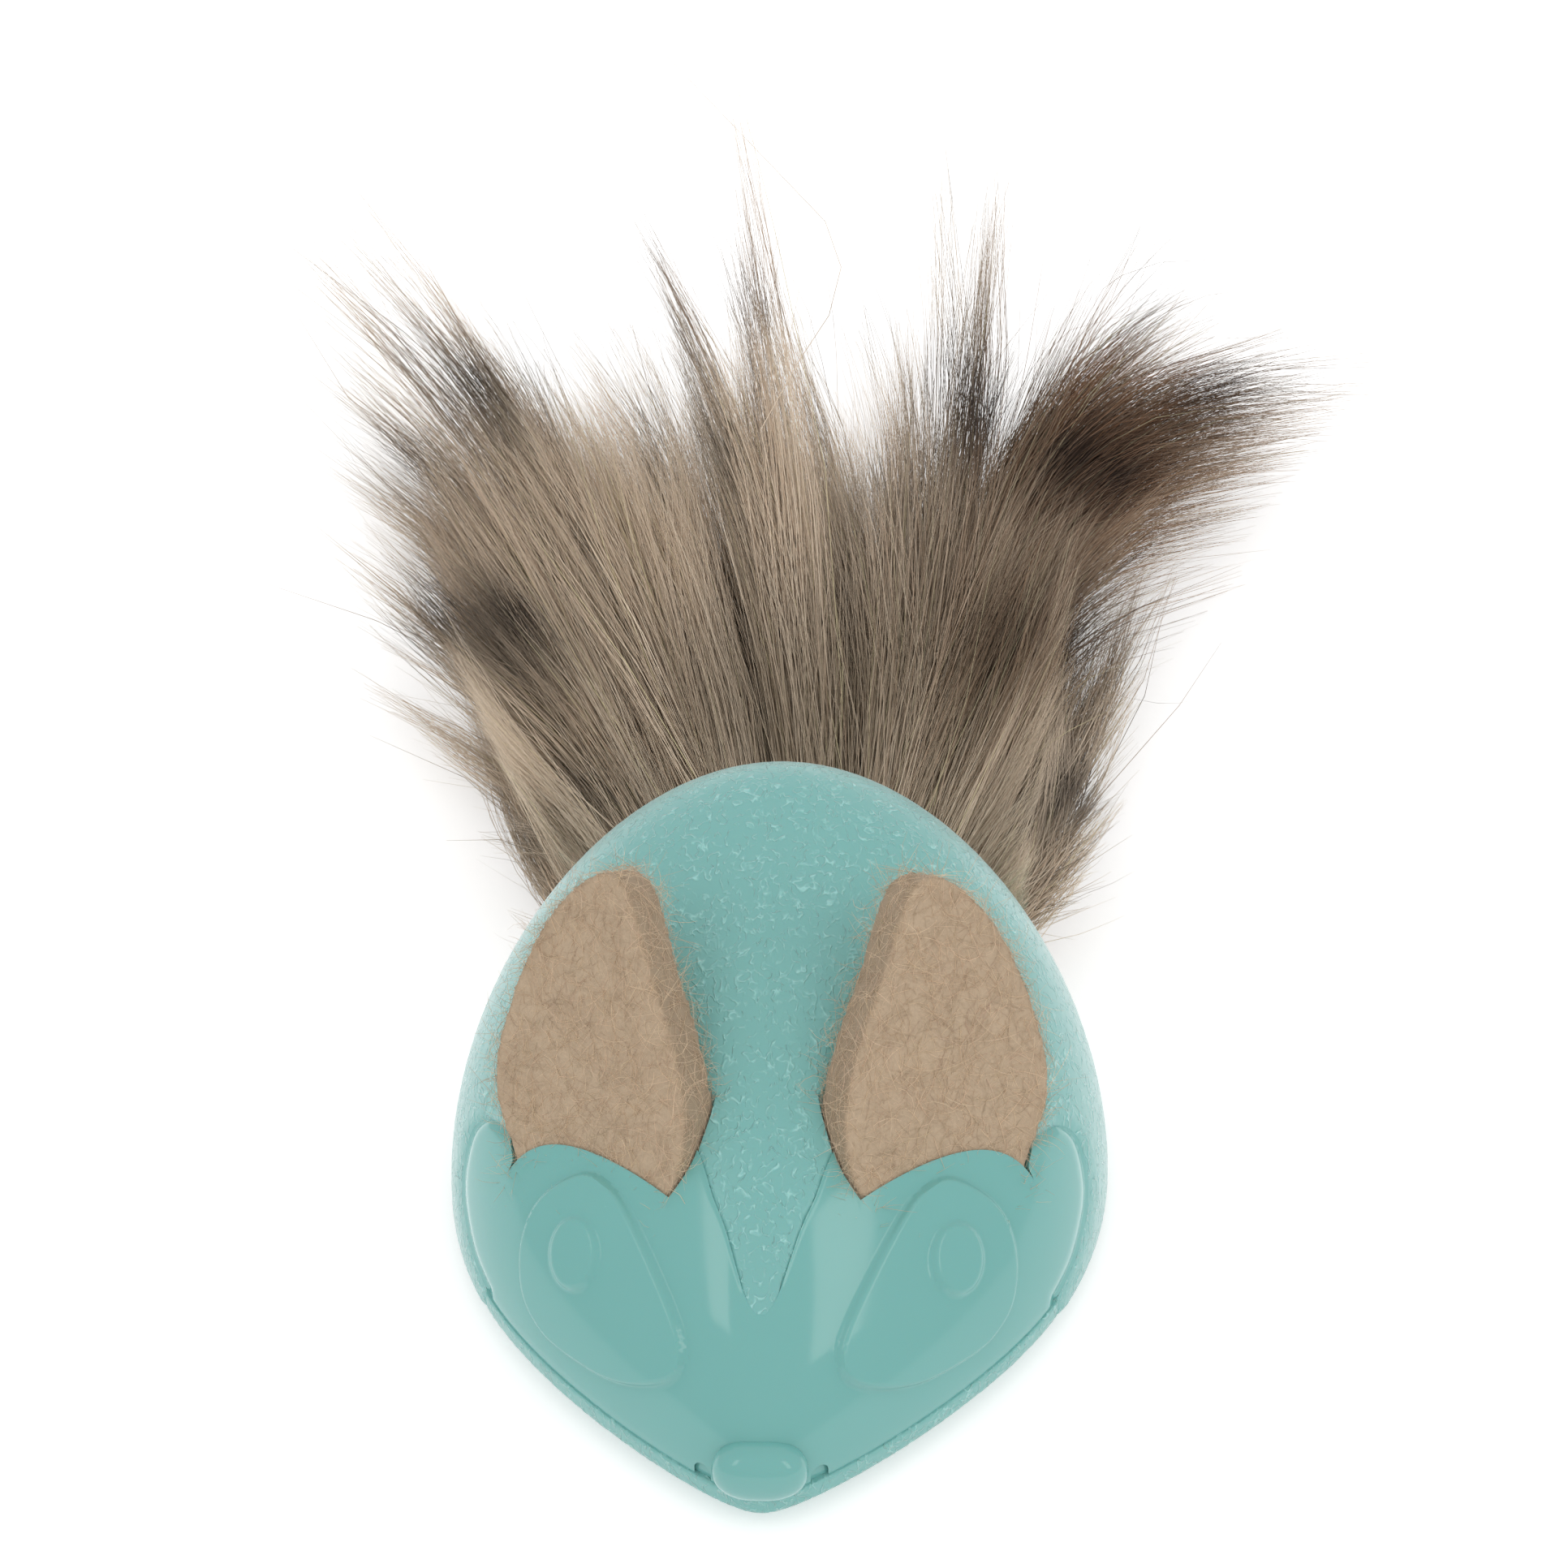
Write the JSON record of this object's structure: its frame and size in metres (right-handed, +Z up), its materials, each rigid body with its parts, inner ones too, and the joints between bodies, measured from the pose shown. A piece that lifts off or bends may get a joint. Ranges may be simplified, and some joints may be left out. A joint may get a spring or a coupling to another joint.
{
  "type": "rolling marble cat toy",
  "caption": "Low mouse-like plastic dome that rolls on a captive glass marble, with felt ears, a glossy face mask and a fanned fur tail.",
  "frame": {"origin": "on the floor under the middle of the whole footprint, fur tail included; the marble stands on the floor at z = 0", "axes": "+Z up, nose towards -Y, tail towards +Y, the mouse's left ear on the -X side of the picture"},
  "size_m": [0.0788, 0.1282, 0.0294],
  "materials": {
    "textured_teal": "satin",
    "polished_teal": "gloss",
    "base_teal": "satin",
    "white_plastic": "satin",
    "felt": "matte",
    "knit": "matte",
    "fur": "matte",
    "glass": "polished",
    "steel": "satin"
  },
  "bodies": {
    "body": {"body_shell": "textured_teal", "face_mask": "polished_teal", "ear_left": "felt", "ear_right": "felt", "base": "base_teal", "marble_cup": "white_plastic", "base_screw_front": "steel", "base_screw_left": "steel", "base_screw_right": "steel", "tail_backing": "knit", "tail_clamp": "white_plastic", "tail_clamp_screw_left": "steel", "tail_clamp_screw_right": "steel", "fur_lock_01": "fur", "fur_lock_02": "fur", "fur_lock_03": "fur", "fur_lock_04": "fur", "fur_lock_05": "fur", "fur_lock_06": "fur", "fur_lock_07": "fur", "fur_lock_08": "fur", "fur_lock_09": "fur", "fur_lock_10": "fur", "fur_lock_11": "fur", "fur_lock_12": "fur", "fur_lock_13": "fur", "fur_lock_14": "fur"},
    "marble": {"marble": "glass"}
  },
  "joints": [
    {"name": "marble_roll", "type": "hinge", "parent": "body", "child": "marble", "pos_m": [0.00106, -0.031, 0.008], "axis": [1, 0, 0], "continuous": true}
  ]
}
